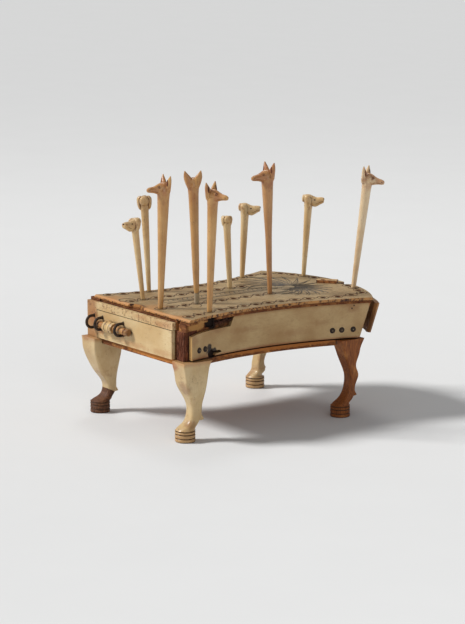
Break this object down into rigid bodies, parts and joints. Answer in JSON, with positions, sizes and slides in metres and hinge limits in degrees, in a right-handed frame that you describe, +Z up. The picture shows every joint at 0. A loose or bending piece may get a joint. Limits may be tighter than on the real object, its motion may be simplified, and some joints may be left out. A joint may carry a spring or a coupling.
{
  "type": "hounds and jackals game",
  "caption": "Ancient peg game box with drawn-in sides on bull's legs: a pierced ivory top, a drawer with a sliding bolt, and tall pegs with jackal and hound heads.",
  "frame": {"origin": "middle of the object's bounding box in plan, on the plane that the four hooves stand on", "axes": "+Z up, -Y towards the drawer's front, +X towards the right-hand side as seen from the front"},
  "size_m": [0.0976, 0.1414, 0.1325],
  "materials": {
    "ivory_top": "satin",
    "ivory_side": "satin",
    "ivory_front": "satin",
    "ivory_leg": "satin",
    "ivory_jackal": "satin",
    "ivory_red": "satin",
    "ivory_hound": "satin",
    "ivory_bolt": "satin",
    "wood_board": "matte",
    "wood_post": "matte",
    "wood_leg": "satin",
    "wood_restored": "satin",
    "wood_drawer": "matte",
    "staple_metal": "satin",
    "clear_fill": "gloss"
  },
  "bodies": {
    "root": {"top_board": "wood_board", "top_veneer": "ivory_top", "goal_tablet": "ivory_top", "bottom_board": "wood_board", "near_side_wall": "wood_board", "far_side_wall": "wood_board", "back_wall": "wood_board", "front_right_post": "wood_post", "front_left_post": "wood_post", "back_right_post": "wood_post", "back_left_post": "wood_post", "near_side_panel": "ivory_side", "far_side_panel": "ivory_side", "back_panel": "ivory_side", "front_fascia": "ivory_front", "side_studs": "ivory_side", "keeper_staple": "staple_metal", "leg_front_right": "ivory_leg", "leg_front_left": "ivory_leg", "hoof_front_left": "wood_restored", "leg_back_right": "wood_leg", "leg_back_left": "ivory_leg", "leg_dowels": "wood_board"},
    "drawer": {"drawer_front": "ivory_front", "drawer_front_board": "wood_drawer", "drawer_side_near": "wood_drawer", "drawer_side_far": "wood_drawer", "drawer_back": "wood_drawer", "drawer_bottom": "wood_drawer", "drawer_staples": "staple_metal"},
    "bolt": {"bolt": "ivory_bolt"},
    "jackal_pin_1": {"jackal_pin_1": "ivory_jackal"},
    "jackal_pin_2": {"jackal_pin_2": "ivory_jackal", "pin_tip_fill": "clear_fill"},
    "jackal_pin_3": {"jackal_pin_3": "ivory_jackal"},
    "jackal_pin_4": {"jackal_pin_4": "ivory_red"},
    "jackal_pin_5": {"jackal_pin_5": "ivory_jackal"},
    "hound_pin_1": {"hound_pin_1": "ivory_hound"},
    "hound_pin_2": {"hound_pin_2": "ivory_hound"},
    "hound_pin_3": {"hound_pin_3": "ivory_hound"},
    "hound_pin_4": {"hound_pin_4": "ivory_hound"},
    "hound_pin_5": {"hound_pin_5": "ivory_hound"}
  },
  "joints": [
    {"name": "drawer_slide", "type": "slide", "parent": "root", "child": "drawer", "axis": [0, -1, 0], "range_m": [0, 0.062]},
    {"name": "bolt_slide", "type": "slide", "parent": "drawer", "child": "bolt", "axis": [1, 0, 0], "range_m": [-0.0052, 0.003]},
    {"name": "jackal_pin_1_lift", "type": "slide", "parent": "root", "child": "jackal_pin_1", "axis": [0.0182, 0.0251, 0.9995], "range_m": [0, 0.03]},
    {"name": "jackal_pin_2_lift", "type": "slide", "parent": "root", "child": "jackal_pin_2", "axis": [-0.0159, -0.0218, 0.9996], "range_m": [0, 0.03]},
    {"name": "jackal_pin_3_lift", "type": "slide", "parent": "root", "child": "jackal_pin_3", "axis": [0.0176, 0.0243, 0.9996], "range_m": [0, 0.03]},
    {"name": "jackal_pin_4_lift", "type": "slide", "parent": "root", "child": "jackal_pin_4", "axis": [-0.0147, -0.0202, 0.9997], "range_m": [0, 0.03]},
    {"name": "jackal_pin_5_lift", "type": "slide", "parent": "root", "child": "jackal_pin_5", "axis": [0.0695, 0.0956, 0.993], "range_m": [0, 0.03]},
    {"name": "hound_pin_1_lift", "type": "slide", "parent": "root", "child": "hound_pin_1", "axis": [-0.0602, -0.0829, 0.9947], "range_m": [0, 0.03]},
    {"name": "hound_pin_2_lift", "type": "slide", "parent": "root", "child": "hound_pin_2", "axis": [-0.0264, -0.0364, 0.999], "range_m": [0, 0.03]},
    {"name": "hound_pin_3_lift", "type": "slide", "parent": "root", "child": "hound_pin_3", "axis": [-0.0264, -0.0364, 0.999], "range_m": [0, 0.03]},
    {"name": "hound_pin_4_lift", "type": "slide", "parent": "root", "child": "hound_pin_4", "axis": [0.0247, 0.0339, 0.9991], "range_m": [0, 0.03]},
    {"name": "hound_pin_5_lift", "type": "slide", "parent": "root", "child": "hound_pin_5", "axis": [0.0364, 0.0501, 0.9981], "range_m": [0, 0.03]}
  ]
}
